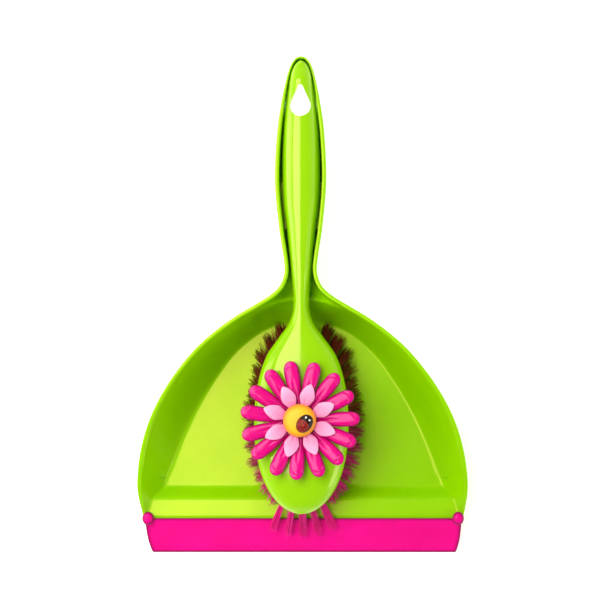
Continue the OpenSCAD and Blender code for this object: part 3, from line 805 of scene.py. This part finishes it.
def ring_of_petals(node, count, first, root, tip, width, thick, z, kind, material):
    """All petals of one moulding, with the washer that joins them."""
    top, under = petal_points(root, tip, width, thick, kind)
    verts, faces = [], []
    for i in range(count):
        a = math.radians(first + i * 360 / count)
        wobble = math.radians(rng.normal(0, 0.6))
        turn = np.array(Matrix.Rotation(a + wobble, 3, "Z"))
        size = 1 + rng.normal(0, 0.008)
        points, quads = shell(top * [size, 1, 1], under * [size, 1, 1])
        points = points @ turn.T + [0, FLOWER_Y, z + 0.22 * (i % 2)]
        faces += [[k + len(verts) for k in f] for f in quads]
        verts += points.tolist()
    r = root + 2.5
    plate = [(0, 0.9), (r - 1, 0.9), (r - 0.3, 0.75), (r, 0.3), (r, -0.4), (r - 0.4, -0.8), (0, -0.8)]
    points, quads = lathe(plate[::-1], 64, (0, FLOWER_Y, z))
    faces += [[k + len(verts) for k in f] for f in quads]
    verts += points.tolist()
    name = node.replace("petals", "petal_ring")
    ring = add_piece(name, verts, faces, material, "brush", 50, [node])
    # Painted shade, not pigment: deeper colour along the sides, at the root, at the end of the tip and
    # underneath
    rows, cols = top.shape[:2]
    across = np.abs(np.sin(np.linspace(-math.pi / 2, math.pi / 2, cols)))
    along = np.sin(np.linspace(0, math.pi / 2, rows))
    painted_side_shade = ease((across[None, :] - 0.72) / 0.28) * 0.85
    painted_root_shade = 0.55 * ease((0.5 - along[:, None]) / 0.5)
    upper = np.maximum(np.maximum(painted_side_shade, painted_root_shade), 0.8 * ease((along[:, None] - 0.96) / 0.04))
    loop = np.concatenate([upper, np.ones((rows, cols))], axis=1).ravel()
    values = np.concatenate([np.tile(loop, count), np.full(len(verts) - count * len(loop), 0.6)])
    add_values(ring, "edge", values)
    return ring


def dome_cap():
    low, high = dome_low[2], dome_high[2]
    r = (dome_high[0] - dome_low[0]) / 2
    profile = [(0, low), (r - 0.9, low), (r - 0.25, low + 0.12), (r, low + 0.5)]
    profile += [(r * math.cos(a), low + 0.6 + (high - low - 0.6) * math.sin(a))
                for a in np.radians(np.arange(4, 88, 4))]
    profile += [(0, high)]
    verts, faces = lathe(profile, 72, (0, FLOWER_Y, 0))
    return add_piece("dome_cap", verts, faces, yellow, "brush", 50, ["flower_dome"])


def ladybird_frame():
    """Place of the ladybird on the dome: +X towards its head."""
    return (Matrix.Translation((3.6, FLOWER_Y - 1.8, dome_high[2] - 1.0))
            @ Matrix.Rotation(math.radians(52), 4, "Z"))


def placed(points, matrix):
    m = np.array(matrix)
    return np.asarray(points) @ m[:3, :3].T + m[:3, 3]


def ellipsoid_cap(radii, centre, low_x, high_x, steps=36, rings=20):
    """Upper half of an ellipsoid between two X planes, closed underneath."""
    c = np.array(centre, float)
    xs = c[0] + radii[0] * np.sin(np.linspace(
        math.asin(max(-1, (low_x - c[0]) / radii[0])),
        math.asin(min(1, (high_x - c[0]) / radii[0])), rings))
    upper, lower = [], []
    for x in xs:
        k = math.sqrt(max(0.0004, 1 - ((x - c[0]) / radii[0]) ** 2))
        a = np.linspace(math.pi, 0, steps)
        upper.append([[x, c[1] + radii[1] * k * math.cos(b), c[2] + radii[2] * k * math.sin(b) + 0.02]
                      for b in a])
        lower.append([[x, c[1] + radii[1] * k * math.cos(b) * 0.98, c[2] - 0.25] for b in a])
    return shell(upper, lower)


BODY_R = np.array([6.7, 5.1, 3.2])
SHELL_R = np.array([6.3, 4.6, 3.9])
SHELL_C = np.array([-0.5, 0.0, 0.5])
SPOTS = [(-5.4, 0.9), (-5.4, -0.9), (-4.3, 2.3), (-4.3, -2.3), (-3.6, 0.8), (-3.6, -0.8),
         (-2.4, 3.2), (-2.4, -3.2), (-1.9, 1.7), (-1.9, -1.7), (-0.4, 2.9), (-0.4, -2.9),
         (-0.1, 0.9), (-0.1, -0.9)]


def ladybird():
    """Black body and head, red-brown wing cases with a seam and spots, and two eyes."""
    at = ladybird_frame()
    verts, faces = ellipsoid_cap(BODY_R, (-0.3, 0, 0.25), -6.98, 6.38, 56, 36)
    add_piece("ladybird_belly", placed(verts, at), faces, black, "brush", 50,
              ["ladybird_body"])

    verts, faces = ellipsoid_cap(SHELL_R, SHELL_C, SHELL_C[0] - 6.28, 1.4, 56, 34)
    verts[:, 0] -= 0.07 * verts[:, 1] ** 2 * ease((verts[:, 0] + 1) / 2.4)
    seam = np.exp(-(verts[:, 1] / 0.24) ** 2) * (verts[:, 2] > 1.5)
    verts[:, 2] -= 0.28 * seam
    add_piece("wing_cases", placed(verts, at), faces, red, "brush", 50,
              ["ladybird_shell"])

    verts, faces = [], []
    for x, y in SPOTS:
        first, ring, steps = len(verts), 3, 14
        for k in range(ring + 1):
            for b in np.arange(steps) * 2 * math.pi / steps:
                px, py = x + 0.68 * k / ring * math.cos(b), y + 0.58 * k / ring * math.sin(b)
                f = 1 - ((px - SHELL_C[0]) / SHELL_R[0]) ** 2 - (py / SHELL_R[1]) ** 2
                pz = SHELL_C[2] + SHELL_R[2] * math.sqrt(max(0.01, f))
                verts.append([px, py, pz + (0.16 if k < ring else -0.06)])
        faces += loop_skin(ring + 1, steps, first).tolist()
        faces.append([first + j for j in range(steps)])
    add_piece("wing_spots", placed(verts, at), faces, black, "brush", 50)

    verts, faces = [], []
    for side in (-1, 1):
        profile = [(0, -0.5)] + [(0.72 * math.cos(a), 0.5 * math.sin(a))
                                 for a in np.radians(np.arange(-40, 80, 15))] + [(0, 0.5)]
        points, quads = lathe(profile, 24, (3.7, side * 1.5, 2.75))
        faces += [[k + len(verts) for k in f] for f in quads]
        verts += points.tolist()
    add_piece("eye_dots", placed(verts, at), faces, white, "brush", 50, ["ladybird_eyes"])


# ---- Build -----------------------------------------------------------------------------

bristle, yellow = filament(), dome_yellow()
pale, metal = pale_petal(), steel()
black = paint("ladybird_black", rgb(14, 6, 5), rgb(28, 13, 10), 0.3)
red = paint("ladybird_red", rgb(166, 26, 8), rgb(138, 14, 5), 0.34)
white = paint("eye_white", rgb(250, 248, 244), rgb(236, 232, 226))

pan_moulding()
shelf(-1)
shelf(1)
lip_strip()
stud_button(-1)
stud_button(1)
cover_moulding()
for node, count, spread in (("tufts_rim", 110, 4.6), ("tufts_toe", 54, 2.6), ("tufts_middle", 34, 2.8),
                            ("tufts_inner", 26, 2.6), ("tufts_core", 26, 2.6)):
    bunch(node, ring_tufts()[node], count, spread)
ring_of_petals("petals_outer", 15, 98.8, 12, 40.6, 10.2, 3.6, 50.7, "outer", petal_pink)
ring_of_petals("petals_inner", 8, 116, 8.4, 25.7, 10.2, 2.2, 54.2, "inner", pale)
dome_cap()
ladybird()

for node, material in (("tuft_block", lime), ("block_screws", metal), ("tuft_staples", metal),
                       ("flower_base", petal_pink), ("flower_screw", metal)):
    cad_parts[node].data.materials.clear()
    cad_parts[node].data.materials.append(material)


# ---- Studio ----------------------------------------------------------------------------

def studio():
    """Pale floor, a sky that is brighter towards the horizon, and three soft lamps."""
    scene = bpy.context.scene
    horizon, zenith = 1.1, 0.22
    scene.view_settings.view_transform = "Standard"
    world = bpy.data.worlds.new("studio")
    world.use_nodes = True
    tree = world.node_tree
    up = tree.nodes.new("ShaderNodeSeparateXYZ")
    rise = tree.nodes.new("ShaderNodeMapRange")
    back = tree.nodes["Background"]
    back.inputs["Color"].default_value = (0.95, 0.98, 1.0, 1)
    rise.inputs[1].default_value = 0.0
    rise.inputs[2].default_value = 0.8
    rise.inputs[3].default_value = horizon
    rise.inputs[4].default_value = zenith
    tree.links.new(tree.nodes.new("ShaderNodeTexCoord").outputs["Generated"], up.inputs[0])
    tree.links.new(up.outputs["Z"], rise.inputs[0])
    tree.links.new(rise.outputs[0], back.inputs["Strength"])
    scene.world = world

    floor = bpy.data.meshes.new("floor")
    floor.from_pydata([(-3, -3, -0.0005), (3, -3, -0.0005), (3, 3, -0.0005), (-3, 3, -0.0005)],
                      [], [[0, 1, 2, 3]])
    floor_obj = bpy.data.objects.new("floor", floor)
    scene.collection.objects.link(floor_obj)
    n = Nodes("pale_floor")
    floor.materials.append(n.set(Base_Color=(0.93, 0.93, 0.93, 1), Roughness=0.8,
                                 Emission_Color=(1, 1, 1, 1), Emission_Strength=0.6))

    def area(name, place, target, width, height, power, colour):
        light = bpy.data.lights.new(name, "AREA")
        light.color = colour
        light.shape, light.size, light.size_y, light.energy = "RECTANGLE", width, height, power
        obj = bpy.data.objects.new(name, light)
        obj.location = place
        aim = Vector(target) - Vector(place)
        obj.rotation_euler = aim.to_track_quat("-Z", "Y").to_euler()
        scene.collection.objects.link(obj)

    area("key", (-0.535, 0.3, 1.25), (-0.535, 0.3, 0), 0.93, 1.3, 23, (1.0, 0.93, 0.78))
    area("side", (-1.3, 0.1, 0.45), (0, 0, 0), 0.5, 1.0, 5, (1.0, 0.95, 0.8))
    area("fill", (1.3, -0.5, 0.6), (0, 0, 0), 0.7, 0.7, 5, (1.0, 1.0, 0.85))


def camera():
    """Almost straight above, leaning a little to the right, as far off as a long lens allows."""
    scene = bpy.context.scene
    data = bpy.data.cameras.new("camera")
    cam = bpy.data.objects.new("camera", data)
    scene.collection.objects.link(cam)
    distance, width = 6.0, 0.4088
    turn = (Matrix.Rotation(math.radians(3.1), 3, "Y") @ Matrix.Rotation(math.radians(1.2), 3, "X"))
    cam.location = Vector((-0.0028, 0.0037, 0)) + turn @ Vector((0, 0, distance))
    cam.rotation_euler = turn.to_euler()
    data.sensor_width = 36
    data.lens = 36 * distance / width
    data.clip_end = 20
    scene.camera = cam


studio()
camera()
